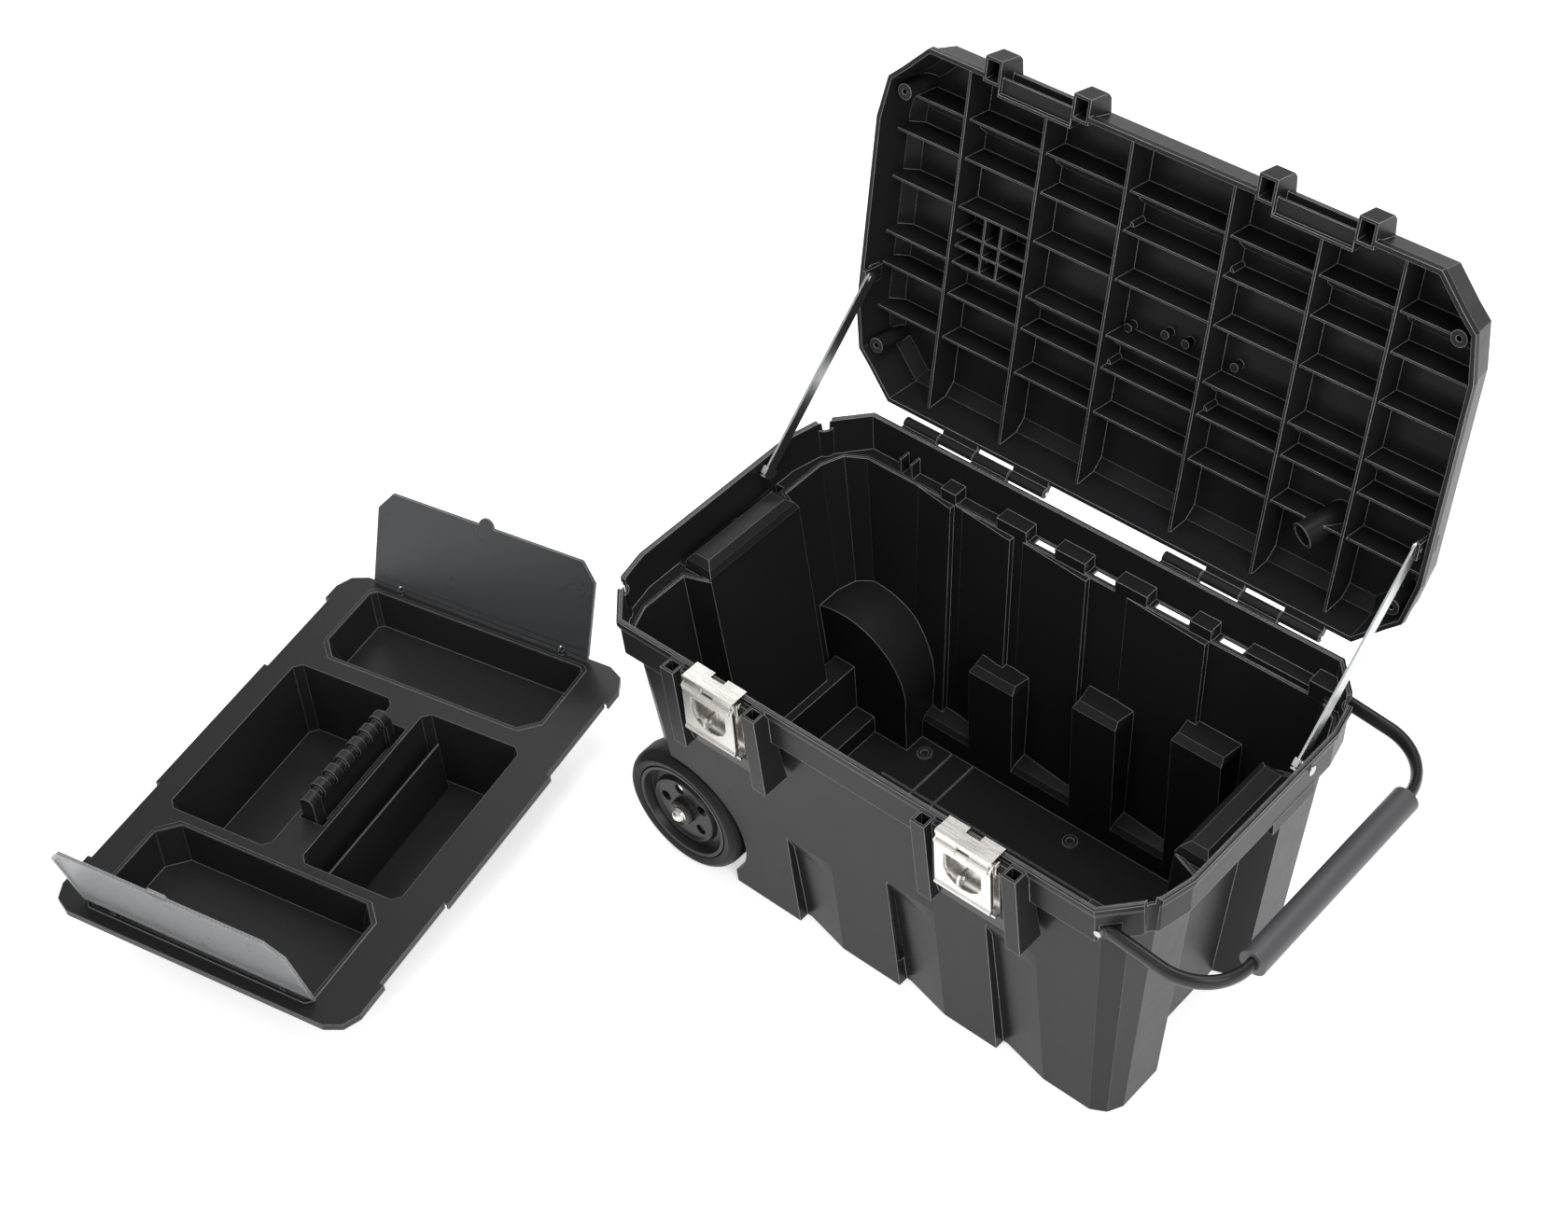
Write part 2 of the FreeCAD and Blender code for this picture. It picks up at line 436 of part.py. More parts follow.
# ------------------------------------------------------------------ lid, drawn closed and then opened about the hinge
LZ = H
def lid_rim(inset):
    half = [("rim_len/2 - 58 - 0.4*(%s)" % inset, "rim_wid/2 + 2 - (%s)" % inset),
            ("rim_len/2 - 27 - 0.7*(%s)" % inset, "rim_wid/2 - 30 - 0.7*(%s)" % inset),
            ("rim_len/2 - 9 - 0.85*(%s)" % inset, "rim_wid/2 - 47 - 0.5*(%s)" % inset),
            ("rim_len/2 + 1 - (%s)" % inset, "rim_wid/2 - 98 - 0.3*(%s)" % inset)]
    out = [(a, "-(%s + 5.5)" % b) for a, b in half]
    out += [(a, b) for a, b in reversed(half)]
    out += [("-(%s)" % a, b) for a, b in half]
    out += [("-(%s)" % a, "-(%s + 5.5)" % b) for a, b in reversed(half)]
    return out


lz0 = "tub_height + lid_gap"
shell = fuse([prism(lid_rim("0"), lz0, "8"),
              loft([poly(lid_rim("2"), lz0 + " + 7"), poly(lid_rim("9"), "tub_height + lid_deep - 14")]),
              loft([poly(lid_rim("9"), "tub_height + lid_deep - 14"), poly(lid_rim("24"), "tub_height + lid_deep")])], False)
hollow = fuse([loft([poly(lid_rim("5"), "tub_height"), poly(lid_rim("12"), "tub_height + lid_deep - 15")]),
               loft([poly(lid_rim("12"), "tub_height + lid_deep - 15"), poly(lid_rim("26"), "tub_height + lid_deep - lid_skin")])], False)
# ribs: six across, six along, each stopping short of the rim plane
ribs = []
for x in (-265, -163, -55, 70, 175, 268):
    ribs.append(box(x - 1.5, x + 1.5, "-rim_wid/2 + 6", "rim_wid/2 - 6", "tub_height + 16", "tub_height + lid_deep - 1"))
for y in (-150, -104, -46, 22, 62, 118):
    ribs.append(box("-rim_len/2 + 12", "rim_len/2 - 12", y - 1.25, y + 1.25, "tub_height + 24", "tub_height + lid_deep - 1"))
# raised long ridges beside the first and fourth rows
for y in (-136, 36):
    ribs.append(prism([(y - 13, "tub_height + lid_deep - 1"), (y - 9, "tub_height + lid_deep - 12"), (y - 4, "tub_height + lid_deep - 17"), (y + 2, "tub_height + lid_deep - 15"), (y + 13, "tub_height + lid_deep - 1")], "-rim_len/2 + 34", "rim_len - 68", "yz"))
lid_bosses = [cyl(6, 22, x, y, "tub_height + lid_deep - 24") for x, y in ((-55, -104), (70, -104), (-55, 62), (70, 62), (-232, 10))]
lid_bosses += [cyl(5, 12, x, y, "tub_height + lid_deep - 14") for x, y in ((-62, 0), (-42, 16), (4, 4), (30, 4), (92, 4), (62, -6))]
cells = [box(-265, -163, y - 1.2, y + 1.2, "tub_height + 26", "tub_height + lid_deep - 1") for y in (-16, 2)] + [box(x - 1.2, x + 1.2, -46, 22, "tub_height + 26", "tub_height + lid_deep - 1") for x in (-228, -206)]
corner_boss = [cyl(9, "lid_deep - 12", "%d*(rim_len/2 - 28)" % sx, "%d*(rim_wid/2 - 56)" % sy, "tub_height + 8") for sx in (-1, 1) for sy in (-1, 1)]
corner_hole = [cyl(3.2, 40, "%d*(rim_len/2 - 28)" % sx, "%d*(rim_wid/2 - 56)" % sy, "tub_height - 2") for sx in (-1, 1) for sy in (-1, 1)]
cup_out, cup_in = [], []
for kk, (r, lst) in enumerate(((15, cup_out), (12, cup_in))):
    c = doc.addObject("Part::Cylinder", uid("round"))
    c.Radius = r
    c.Height = 60
    c.Placement = FreeCAD.Placement(Vector(246, 112, D["tub_height"] + 66), FreeCAD.Rotation(Vector(0, 0, 1), Vector(-0.35, 0.35, -0.87)))
    lst.append(c)
keep = cut(fuse(ribs + lid_bosses + cells + corner_boss + cup_out, False), [cut(box(-420, 420, -260, 260, "tub_height - 10", "tub_height + 90"), [shell])])
tabs = []
tab_cut = []
for sx in (-1, 1):
    for so in (-1, 1):
        gc = "%d*latch_x + %d*guard_off" % (sx, so)
        tabs.append(prism([("-rim_wid/2 + 2", lz0), ("-rim_wid/2 - 27", lz0), ("-rim_wid/2 - 25", "tub_height + 32"), ("-rim_wid/2 - 19", "tub_height + 38"), ("-rim_wid/2 + 8", "tub_height + 44")], gc + " - guard_wid/2 - 2", "guard_wid + 4", "yz"))
        tab_cut.append(prism([("-rim_wid/2 - 1", "tub_height"), ("-rim_wid/2 - 24", "tub_height"), ("-rim_wid/2 - 22", "tub_height + 30"), ("-rim_wid/2 - 2", "tub_height + 36")], gc + " - guard_wid/2 + 1", "guard_wid - 2", "yz"))
recess, recess_back = [], []
for sx in (-1, 1):
    x0 = "%d*latch_x - guard_off + guard_wid/2 + 2" % sx
    x1 = "%d*latch_x + guard_off - guard_wid/2 - 2" % sx
    recess_back.append(box(x0 + " - 1", x1 + " + 1", "-rim_wid/2 - 7.5", "-rim_wid/2 + 13", lz0, "tub_height + 27"))
    recess.append(box(x0, x1, "-rim_wid/2 - 20", "-rim_wid/2 + 10", "tub_height - 2", "tub_height + 6"))
    recess.append(box(x0, x1, "-rim_wid/2 - 20", "-rim_wid/2 + 2", "tub_height + 9", "tub_height + 24"))
lk, lk_cut = [], []
for g0 in (-280, 80):
    for k in (1, 3):
        x0 = g0 + 50 * k
        lk.append(cyl("knuckle_rad", "knuckle_len - 1", x0 + 0.5, "hinge_y", "tub_height - hinge_drop", "x"))
        arm = [("rim_wid/2 - 2", "tub_height + lid_gap"), ("hinge_y", "tub_height - hinge_drop + 1"), ("hinge_y", "tub_height - hinge_drop + knuckle_rad"), ("rim_wid/2 - 2", "tub_height + 12")]
        lk.append(prism(arm, x0 + 0.5, "knuckle_len - 1", "yz"))
    lk_cut.append(cyl("pin_rad + bore_gap", "4*knuckle_len + 20", g0 - 10, "hinge_y", "tub_height - hinge_drop", "x"))
    # clear the tub's knuckles
    for k in (0, 2):
        lk_cut.append(cyl("knuckle_rad + 1.2", "knuckle_len", g0 + 50 * k, "hinge_y", "tub_height - hinge_drop", "x"))
# ears for the stays
ear_y, ear_z = "(hinge_y - stay_rad*cos(1.15))", "(tub_height - hinge_drop + stay_rad*sin(1.15))"
pads, pad_bore = [], []
for sx in (-1, 1):
    p0, p1, p2 = ("stay_x + 2", "stay_x + 6", "rim_len/2 - 3") if sx > 0 else ("-stay_x - 6", "-stay_x - 2", "-stay_x - 2")
    pads.append(box(p0, p1, ear_y + " - 10", ear_y + " + 10", "tub_height - 5.5", "tub_height + 24"))
    if sx > 0:
        pads.append(box(p0, "rim_len/2 - 3", ear_y + " - 10", ear_y + " + 10", "tub_height + 9", "tub_height + 24"))
    else:
        pads.append(box("-rim_len/2 + 3", p1, ear_y + " - 10", ear_y + " + 10", "tub_height + 9", "tub_height + 24"))
    pad_bore.append(cyl("stud_rad + bore_gap", 8, "stay_x" if sx > 0 else "-stay_x - 8", ear_y, ear_z, "x"))
lid = cut(shell, [hollow])
lid = fuse([lid, keep] + tabs + recess_back + lk + pads, False)
lid = cut(lid, tab_cut + recess + lk_cut + corner_hole + pad_bore + [cut(cup_in[0], [box(-400, 400, -300, 300, "tub_height + lid_deep - lid_skin - 2", "tub_height + 200")])])
lid_closed = lid


def opened(obj):
    # carried from the closed position round the hinge line to the open one
    m = moved(obj, angle=-D["lid_open"], centre=(0, D["hinge_y"], D["tub_height"] - D["hinge_drop"]))
    m.setExpression("Placement.Rotation.Angle", "-1 * Dims.lid_open")
    return m


lid = opened(lid_closed)
node(lid, "lid")


# ------------------------------------------------------------------ hinge pins
for g0, tag in ((-280, "left"), (80, "right")):
    node(cyl("pin_rad", "4*knuckle_len + 2", g0 - 1, "hinge_y", "tub_height - hinge_drop", "x"), "hinge_pin_" + tag)

# ------------------------------------------------------------------ stays: straps drawn hanging, then turned to the open lid
import math as _m
ey, ez = val(ear_y), val(ear_z)
hy, hz = D["hinge_y"], D["tub_height"] - D["hinge_drop"]
gy, gz = val(GUIDE_Y), val(GUIDE_Z)
th = _m.radians(-D["lid_open"])
oy = hy + _m.cos(th) * (ey - hy) - _m.sin(th) * (ez - hz)
oz = hz + _m.sin(th) * (ey - hy) + _m.cos(th) * (ez - hz)
reach = _m.hypot(oy - gy, oz - gz)
lean = _m.degrees(_m.atan2(gy - oy, oz - gz))
print("stay reach", round(reach, 2), "lean", round(lean, 2), "pin", round(oy, 2), round(oz, 2), "guide", round(gy, 2), round(gz, 2))
for sx, tag in ((-1, "left"), (1, "right")):
    xa = "%d*stay_x - stay_thk/2" % sx
    strap = fuse([box(xa, xa + " + stay_thk", "-stay_wid/2", "stay_wid/2", -reach - 8.2, 0),
                  cyl("stay_wid/2", "stay_thk", xa, 0, 0, "x"),
                  box(xa + " - 2.4", xa + " + stay_thk + 2.4", "-stay_wid/2", "stay_wid/2", -reach - 8.2, -reach - 6.2)], False)
    strap = cut(strap, [cyl("stud_rad + bore_gap", 10, "%d*stay_x - 5" % sx, 0, 0, "x")])
    m = doc.addObject("Part::Compound", uid("set"))
    m.Links = [strap]
    m.Placement = FreeCAD.Placement(Vector(0, oy, oz), rot((1, 0, 0), lean))
    node(m, "stay_" + tag)
    # sleeve that the strap slides through, turning on its stud
    xc = "%d*stay_x" % sx
    sleeve_ = fuse([box(xc + " - 3.4", xc + " + 3.4", "-stay_wid/2 - 2.3", "stay_wid/2 + 2.3", -4.5, 4.5),
                    cyl(5.4, 3, xc + (" + 3.2" if sx > 0 else " - 6.2"), 0, 0, "x")], False)
    sleeve_ = cut(sleeve_, [box(xc + " - 1.65", xc + " + 1.65", "-stay_wid/2 - 0.4", "stay_wid/2 + 0.4", -6, 6), cyl("stud_rad + bore_gap", 3.6, xc + (" + 3.2" if sx > 0 else " - 6.8"), 0, 0, "x")])
    m = doc.addObject("Part::Compound", uid("set"))
    m.Links = [sleeve_]
    m.Placement = FreeCAD.Placement(Vector(0, gy, gz), rot((1, 0, 0), lean))
    node(m, "stay_guide_" + tag)
guide, ears = [], []
for sx in (-1, 1):
    if sx > 0:
        guide += [cyl("stud_rad", "rim_len/2 + 1 - stay_x - 3.6", "stay_x + 3.6", GUIDE_Y, GUIDE_Z, "x"), cyl(5.5, 1.8, "rim_len/2 + 0.4", GUIDE_Y, GUIDE_Z, "x")]
        ears += [cyl("stud_rad", 9.2, "stay_x - 3", ear_y, ear_z, "x"), cyl(5, 1.6, "stay_x - 3.2", ear_y, ear_z, "x")]
    else:
        guide += [cyl("stud_rad", "rim_len/2 + 1 - stay_x - 3.6", "-rim_len/2 - 1", GUIDE_Y, GUIDE_Z, "x"), cyl(5.5, 1.8, "-rim_len/2 - 2.2", GUIDE_Y, GUIDE_Z, "x")]
        ears += [cyl("stud_rad", 9.2, "-stay_x - 6.2", ear_y, ear_z, "x"), cyl(5, 1.6, "-stay_x + 1.6", ear_y, ear_z, "x")]
node(fuse(guide, False), "stay_rivets_tub")
node(opened(fuse(ears, False)), "stay_rivets_lid")

# ------------------------------------------------------------------ pull handle: bail, sleeve, collars, pins
spine = doc.addObject("Sketcher::SketchObject", uid("outline"))
L, R, A = D["bail_len"], D["bail_rad"], D["arm_y"]
spine.addGeometry(Part.LineSegment(Vector(0, A, 0), Vector(L - R, A, 0)), False)
spine.addGeometry(Part.ArcOfCircle(Part.Circle(Vector(L - R, A - R, 0), Vector(0, 0, 1), R), 0, _m.pi / 2), False)
spine.addGeometry(Part.LineSegment(Vector(L, A - R, 0), Vector(L, R - A, 0)), False)
spine.addGeometry(Part.ArcOfCircle(Part.Circle(Vector(L - R, R - A, 0), Vector(0, 0, 1), R), -_m.pi / 2, 0), False)
spine.addGeometry(Part.LineSegment(Vector(L - R, -A, 0), Vector(0, -A, 0)), False)
oval = doc.addObject("Part::Ellipse", uid("oval"))
oval.MajorRadius = 9.4
oval.MinorRadius = 6.3
oval.Placement = FreeCAD.Placement(Vector(0, A, 0), FreeCAD.Rotation(Vector(0, 0, 1), Vector(0, 1, 0), Vector(1, 0, 0), "ZYX"))
place(oval, 0, "arm_y", 0)
bar = doc.addObject("Part::Sweep", uid("bent"))
bar.Sections = [oval]
bar.Spine = (spine, ["Edge%d" % k for k in range(1, 6)])
bar.Solid = True
eyes = [cyl(9.4, 12.4, 0, "-arm_y - 6.2", 0, "y"), cyl(9.4, 12.4, 0, "arm_y - 6.2", 0, "y")]
bores = [cyl("trail_rad + bore_gap", 20, 0, "-arm_y - 10", 0, "y"), cyl("trail_rad + bore_gap", 20, 0, "arm_y - 10", 0, "y")]


def hung(obj):
    m = doc.addObject("Part::Compound", uid("set"))
    m.Links = [obj]
    m.Placement = FreeCAD.Placement(Vector(0, 0, 0), rot((0, 1, 0), D["bail_tilt"]))
    m.setExpression("Placement.Rotation.Angle", "Dims.bail_tilt")
    place(m, "arm_x", 0, "tub_height - arm_drop")
    return m


tube = cut(fuse([bar] + eyes, False), bores)
node(hung(tube), "handle_tube")
sleeve = cut(cyl("grip_rad", "grip_len", "bail_len", "-grip_len/2", 0, "y"), [bar])
node(hung(sleeve), "handle_grip")
node(fuse([cyl("trail_rad", 22.4, "arm_x", "-arm_y - 11.4", "tub_height - arm_drop", "y"), cyl("trail_rad", 22.4, "arm_x", "arm_y - 11", "tub_height - arm_drop", "y")], False), "handle_pins")

# ------------------------------------------------------------------ draw latches
PIV_Y, PIV_Z = "(-rim_wid/2 - 9.5)", "(tub_height - 4.5)"
HK_Y, HK_Z = "(-rim_wid/2 - 17)", "(tub_height - 10)"
FACE = "(-rim_wid/2 - 6)"
for sx, tag in ((-1, "left"), (1, "right")):
    c = "%d*latch_x" % sx
    base = [box(c + " - 38.3", c + " + 38.3", FACE + " - 1.6", FACE, "tub_height - 78", "tub_height - 9"),
            box(c + " - 38.3", c + " + 38.3", FACE + " - 9", FACE, "tub_height - 80.5", "tub_height - 78"),
            box(c + " - 38.3", c + " - 36.5", PIV_Y + " - 3.4", FACE, "tub_height - 16", "tub_height - 1"),
            box(c + " + 36.5", c + " + 38.3", PIV_Y + " - 3.4", FACE, "tub_height - 16", "tub_height - 1"),
            prism([(FACE, "tub_height - 51"), (FACE + " - 16", "tub_height - 51"), (FACE + " - 20", "tub_height - 47"), (FACE + " - 20", "tub_height - 40"), (FACE + " - 16", "tub_height - 36"), (FACE, "tub_height - 36")], c + " - 1.5", 3, "yz")]
    base_cut = [cyl("eye_rad + bore_gap", 90, c + " - 45", PIV_Y, PIV_Z, "x"), cyl(3.6, 6, c + " - 3", FACE + " - 13.5", "tub_height - 43.5", "x")]
    base_cut += [cyl(2.6, 10, c + " + (%d)" % dx, FACE + " - 6", "tub_height - %d" % dz, "y") for dx in (-27, 27) for dz in (24, 72)]
    node(cut(fuse(base, False), base_cut), "latch_base_" + tag)
    node(cyl("eye_rad", 78, c + " - 39", PIV_Y, PIV_Z, "x"), "latch_pin_" + tag)
    P0 = HK_Y + " - 1.6"
    arm = [(PIV_Y + " + 2.6", PIV_Z + " + 2.4"), (PIV_Y + " + 3.2", PIV_Z + " - 1"), (PIV_Y + " + 1.5", PIV_Z + " - 3.4"), (HK_Y + " + 1.2", "tub_height - 16"), (P0, "tub_height - 16"), (P0 + " - 1.2", HK_Z + " + 1"), (HK_Y + " - 0.5", HK_Z + " + 3"), (PIV_Y + " - 1.5", PIV_Z + " + 3")]
    lever = [box(c + " - 35.5", c + " + 35.5", P0, P0 + " + 1.8", "tub_height - 72", "tub_height - 14.5"),
             box(c + " - 7", c + " + 7", P0, P0 + " + 1.8", "tub_height - 15", HK_Z),
             box(c + " - 35.5", c + " - 33.5", P0, P0 + " + 5", "tub_height - 66", "tub_height - 14.5"),
             box(c + " + 33.5", c + " + 35.5", P0, P0 + " + 5", "tub_height - 66", "tub_height - 14.5"),
             prism(arm, c + " - 35.5", 2, "yz"), prism(arm, c + " + 33.5", 2, "yz"),
             cyl(2.4, 72, c + " - 36", HK_Y, HK_Z, "x"), cyl(3.4, 14, c + " - 7", HK_Y, HK_Z, "x"),
             cyl(3, 71, c + " - 35.5", P0 + " + 1", "tub_height - 72", "x")]
    win = [(c + " - 24", "tub_height - 21"), (c + " + 24", "tub_height - 21"), (c + " + 24", "tub_height - 43"), (c + " + 19", "tub_height - 53"), (c + " + 10", "tub_height - 59"), (c, "tub_height - 61"), (c + " - 10", "tub_height - 59"), (c + " - 19", "tub_height - 53"), (c + " - 24", "tub_height - 43")]
    lever_cut = [cyl("eye_rad + bore_gap", 90, c + " - 45", PIV_Y, PIV_Z, "x"), prism(win, P0 + " - 4", 12, "xz")]
    node(cut(fuse(lever, False), lever_cut), "latch_lever_" + tag)
    hook = [box(c + " - 35", c + " + 35", "-rim_wid/2 - 17.5", "-rim_wid/2 + 7", "tub_height + 2.2", "tub_height + 3.8"),
            box(c + " - 35", c + " + 35", "-rim_wid/2 - 17.5", "-rim_wid/2 - 16", "tub_height + 0.5", "tub_height + 3.8"),
            box(c + " - 32.5", c + " - 8", "-rim_wid/2 - 17.5", "-rim_wid/2 - 16", HK_Z + " + 1", "tub_height + 3.8"),
            box(c + " + 8", c + " + 32.5", "-rim_wid/2 - 17.5", "-rim_wid/2 - 16", HK_Z + " + 1", "tub_height + 3.8"),
            cyl(3.7, 24.5, c + " - 32.5", HK_Y, HK_Z, "x"), cyl(3.7, 24.5, c + " + 8", HK_Y, HK_Z, "x")]
    hook_cut = [cyl("2.4 + bore_gap", 80, c + " - 40", HK_Y, HK_Z, "x"),
                box(c + " - 9", c + " + 9", "-rim_wid/2 - 1", "-rim_wid/2 + 9", "tub_height", "tub_height + 6")]
    node(cut(fuse(hook, False), hook_cut), "latch_hook_" + tag)
studs = []
for sx in (-1, 1):
    for dx in (-27, 27):
        for dz in (24, 72):
            studs.append(cyl(2.6, 13, "%d*latch_x + (%d)" % (sx, dx), FACE + " - 1.8", "tub_height - %d" % dz, "y"))
            studs.append(cyl(4.4, 1.4, "%d*latch_x + (%d)" % (sx, dx), FACE + " - 3.2", "tub_height - %d" % dz, "y"))
node(fuse(studs, False), "latch_rivets")

# ------------------------------------------------------------------ tray, in its own length and width directions, then set down beside the tub
def tray_out(inset, steps=True):
    e = lambda t: "%s - (%s)" % (t, inset)
    hl, hw = e("tray_len/2"), e("tray_wid/2 + 1.3")
    lw = e("tray_wid/2 - 4")
    pts = [(e("tray_len/2 - 30"), hw), (243, hw), (243, lw), (116, lw), (116, hw), (-97, hw), (-97, lw), (-222, lw), (-222, hw),
           ("-(%s)" % e("tray_len/2 - 30"), hw), ("-(%s)" % e("tray_len/2 - 10"), e("tray_wid/2 - 8")), ("-(%s)" % hl, e("tray_wid/2 - 28"))]
    return pts + [("-(%s)" % hl, "-(%s)" % e("tray_wid/2 - 28")), ("-(%s)" % e("tray_len/2 - 10"), "-(%s)" % e("tray_wid/2 - 8")), ("-(%s)" % e("tray_len/2 - 30"), "-(%s)" % hw)] + \
        [(a, "-(%s)" % b) for a, b in ((-222, hw), (-222, lw), (-97, lw), (-97, hw), (116, hw), (116, lw), (243, lw), (243, hw))] + \
        [(e("tray_len/2 - 30"), "-(%s)" % hw), (e("tray_len/2 - 10"), "-(%s)" % e("tray_wid/2 - 8")), (hl, "-(%s)" % e("tray_wid/2 - 28")),
         (hl, e("tray_wid/2 - 28")), (e("tray_len/2 - 10"), e("tray_wid/2 - 8"))]


def pocket(u0, u1, w0, w1, ch, inset):
    # corner cuts ch = (u0w0, u1w0, u1w1, u0w1)
    u0, u1, w0, w1 = u0 + inset, u1 - inset, w0 + inset, w1 - inset
    a, b, c, d = ch
    return [(u0 + a, w0), (u1 - b, w0), (u1, w0 + b), (u1, w1 - c), (u1 - c, w1), (u0 + d, w1), (u0, w1 - d), (u0, w0 + a)]


TH = "tray_high"
plate = cut(prism(tray_out("0"), TH + " - 9", 9), [prism(tray_out("2.6"), TH + " - 10", "10 - 2.8")])
shells, hollows = [], []
for u0, u1, w0, w1, ch, deep, drop in ((162, 280, -151, 160, (22, 6, 6, 22), 48, 9), (-120, 136, 27, 172, (9, 9, 9, 9), 97.5, 13), (-120, 136, -154, -17, (9, 9, 9, 9), 97.5, 13), (-278, -137, -146, 159, (6, 22, 22, 6), 48, 9)):
    shells.append(loft([poly(pocket(u0 - 2.5, u1 + 2.5, w0 - 2.5, w1 + 2.5, ch, drop), TH + " - %s - 2.5" % deep), poly(pocket(u0 - 2.5, u1 + 2.5, w0 - 2.5, w1 + 2.5, ch, 0), TH + " - 1")]))
    hollows.append(loft([poly(pocket(u0, u1, w0, w1, ch, drop), TH + " - %s" % deep), poly(pocket(u0, u1, w0, w1, ch, 0), TH + " + 0.5")]))
# raised border round the two lidded compartments
for u0, u1, w0, w1, ch in ((162, 280, -151, 160, (22, 6, 6, 22)), (-278, -137, -146, 159, (6, 22, 22, 6))):
    shells.append(prism(pocket(u0 - 4, u1 + 4, w0 - 4, w1 + 4, ch, 0), TH + " - 1", 2.2))
    hollows.append(prism(pocket(u0, u1, w0, w1, ch, 0), TH + " - 0.5", 4))
divider = prism([(-49, 4), (-45, 4), (-46, "tray_high - 20"), (-48, "tray_high - 20")], -118, 232, "yz")
# recess in the spine with the finger grip standing in it
spine_cut = [prism([(-58, "tray_high - 22"), (96, "tray_high - 22"), (104, "tray_high + 2"), (-66, "tray_high + 2")], -12, 33, "xz")]
spine_body = box(-112, 128, -16, 26, "tray_high - 30", "tray_high")
grip = [box(-58, 94, 5.5, 12.5, "tray_high - 24", "tray_high + 22"), box(-62, -46, -0.5, 18.5, "tray_high - 24", "tray_high + 22"), cyl(9.5, 16, -62, 9, "tray_high + 22", "x"),
        cyl(6.5, 150, -56, 9, "tray_high + 24", "x"), box(84, 96, 1, 17, "tray_high - 24", "tray_high + 16"), cyl(8, 12, 84, 9, "tray_high + 16", "x")]
grip += [cyl(10.8, 12, -39 + 23.4 * k, 9, "tray_high + 24.5", "x") for k in range(6)]
tray_lug, lug_bore = [], []
for uu, ws in ((292, (-112, 124)), (-274.6, (-112, 124))):
    for w in ws:
        tray_lug.append(box(uu - 4, uu + 4, w - 3, w + 3, TH + " - 1", TH + " + 6.2"))
        lug_bore.append(cyl("fold_rad*0.8 + bore_gap", 10, uu, w - 5, TH + " + 3.2", "y"))
tray = cut(fuse([plate, spine_body] + shells, False), hollows)
tray = fuse([tray, divider], False)
tray = cut(tray, spine_cut)
tray = cut(fuse([tray] + grip + tray_lug, False), lug_bore)


def set_down(obj):
    m = doc.addObject("Part::Compound", uid("set"))
    m.Links = [obj]
    m.Placement = FreeCAD.Placement(Vector(0, 0, 0), rot((0, 0, 1), D["tray_turn"]))
    m.setExpression("Placement.Rotation.Angle", "Dims.tray_turn")
    place(m, "-tray_x", "-tray_y", 0)
    return m


node(set_down(tray), "tray")
for tag, uu, sgn, leng, w0, w1, turn in (("rear", 292, -1, 127, -149, 165, D["tray_lid_open"]), ("front", -274.6, 1, 125.5, -153, 165, -D["tray_lid_lean"])):
    za = TH + " + 2"
    far = uu + sgn * leng
    pts = [(uu + sgn * 5, w0), (far - sgn * 24, w0), (far, w0 + 20), (far, w1 - 20), (far - sgn * 24, w1), (uu + sgn * 5, w1)]
    sheet_ = prism(pts, TH + " + 1.9", "tray_lid_thk")
    ins = [(uu + sgn * 9, w0 + 4), (far - sgn * 26, w0 + 4), (far - sgn * 4, w0 + 22), (far - sgn * 4, w1 - 22), (far - sgn * 26, w1 - 4), (uu + sgn * 9, w1 - 4)]
    border = cut(prism(pts, TH + " + 1.9", 4.2), [prism(ins, TH + " + 1", 7)])
    bits = [sheet_, border, box(min(uu, uu + sgn * 9), max(uu, uu + sgn * 9), w0, w1, TH + " + 1.9", TH + " + 4.7"), cyl("fold_rad*0.8", w1 - w0, uu, w0, TH + " + 3.2", "y")]
    mid = (w0 + w1) / 2
    if tag == "rear":
        bits += [cyl(11, 2.4, far + 0 * sgn, mid, TH + " + 1.9")]
    else:
        bits += [box(min(far, far + sgn * 8), max(far, far + sgn * 8), mid - 12, mid + 12, TH + " + 1.9", TH + " + 4.3")]
    gaps_ = [box(uu - 6.5, uu + 6.5, w - 4, w + 4, TH + " - 4", TH + " + 10") for w in (-112, 124)]
    lid_t = fuse([cut(fuse(bits, False), gaps_)] + [cyl("fold_rad*0.8", 12, uu, w - 6, TH + " + 3.2", "y") for w in (-112, 124)], False)
    turned = moved(lid_t, angle=turn, axis=(0, 1, 0), centre=(uu, 0, D["tray_high"] + 3.2))
    node(set_down(turned), "tray_lid_" + tag)

doc.recompute()
bad = [o.Label for o in doc.Objects if "Invalid" in o.State or "Error" in o.State]
if bad:
    raise SystemExit("failed objects: %s" % bad)
os.makedirs("parts", exist_ok=True)
for name, obj in NODES.items():
    s = obj.Shape
    if s.isNull() or not s.isValid():
        raise SystemExit("bad shape " + name)
    print(name, "solids", len(s.Solids), "volume cm3", round(s.Volume / 1000, 1), [round(v, 1) for v in (s.BoundBox.XMin, s.BoundBox.XMax, s.BoundBox.YMin, s.BoundBox.YMax, s.BoundBox.ZMin, s.BoundBox.ZMax)])
    s.exportStep("parts/%s.step" % name)
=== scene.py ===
import bpy, bmesh, json, math
from mathutils import Vector, Matrix


